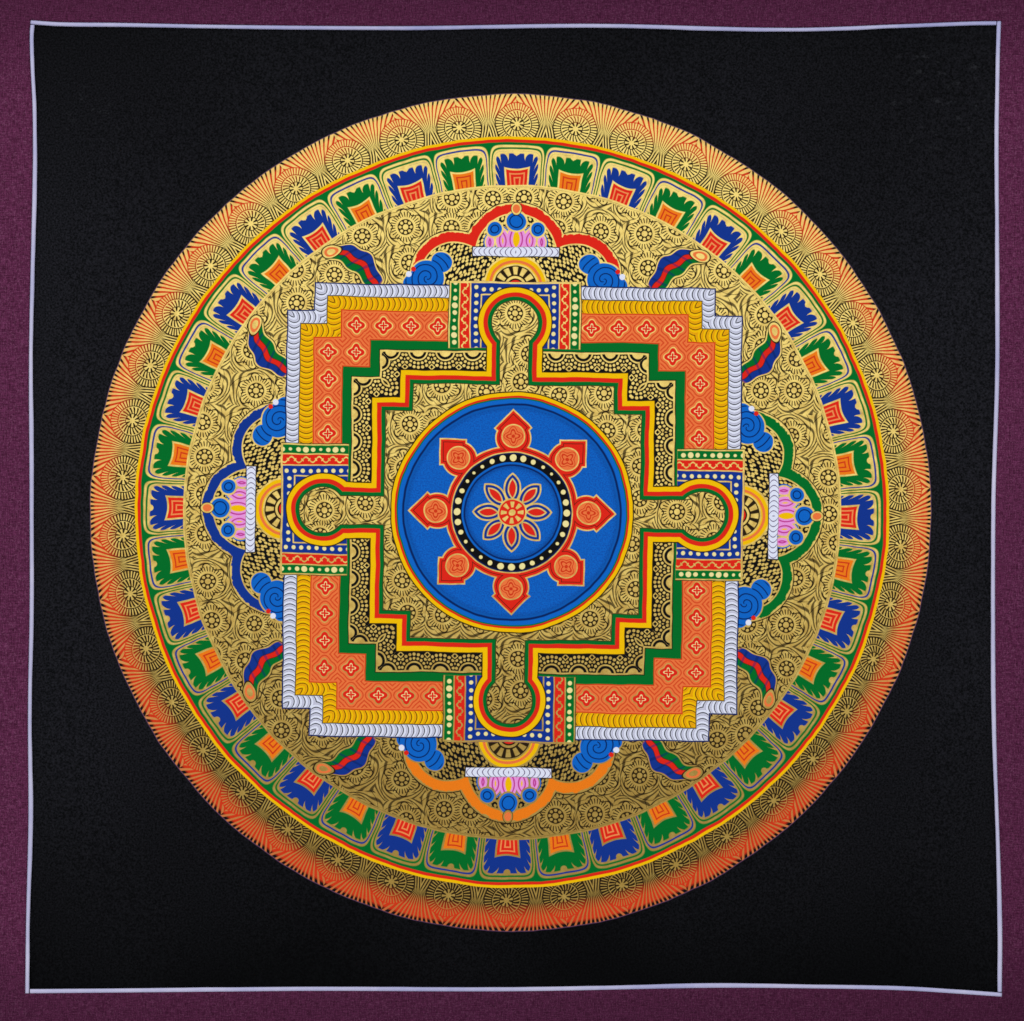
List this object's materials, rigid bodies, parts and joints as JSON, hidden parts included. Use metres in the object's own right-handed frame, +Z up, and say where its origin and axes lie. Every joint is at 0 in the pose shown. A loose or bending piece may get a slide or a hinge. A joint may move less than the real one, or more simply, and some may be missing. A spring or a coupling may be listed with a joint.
{
  "type": "hanging scroll painting",
  "caption": "Square painted canvas edged with narrow white piping and set in a plain plum cloth mount, hung flat from its top edge.",
  "frame": {"origin": "middle of the mount cloth's top edge, half way through its hem", "axes": "+Z up along the scroll's height, +X to the viewer's right, -Y towards the viewer, out of the painted face"},
  "size_m": [0.64, 0.0112, 0.7401],
  "materials": {
    "painted_canvas": "black cotton canvas with a matt painted mandala in gold and bright mineral colours",
    "piping_satin": "pale lavender-white satin piping, soft sheen",
    "mount_cotton": "plain plum cotton, matt"
  },
  "bodies": {
    "root": {"painting": "painted_canvas", "piping_top": "piping_satin", "piping_right": "piping_satin", "piping_bottom": "piping_satin", "piping_left": "piping_satin", "mount_cloth": "mount_cotton"}
  },
  "joints": []
}
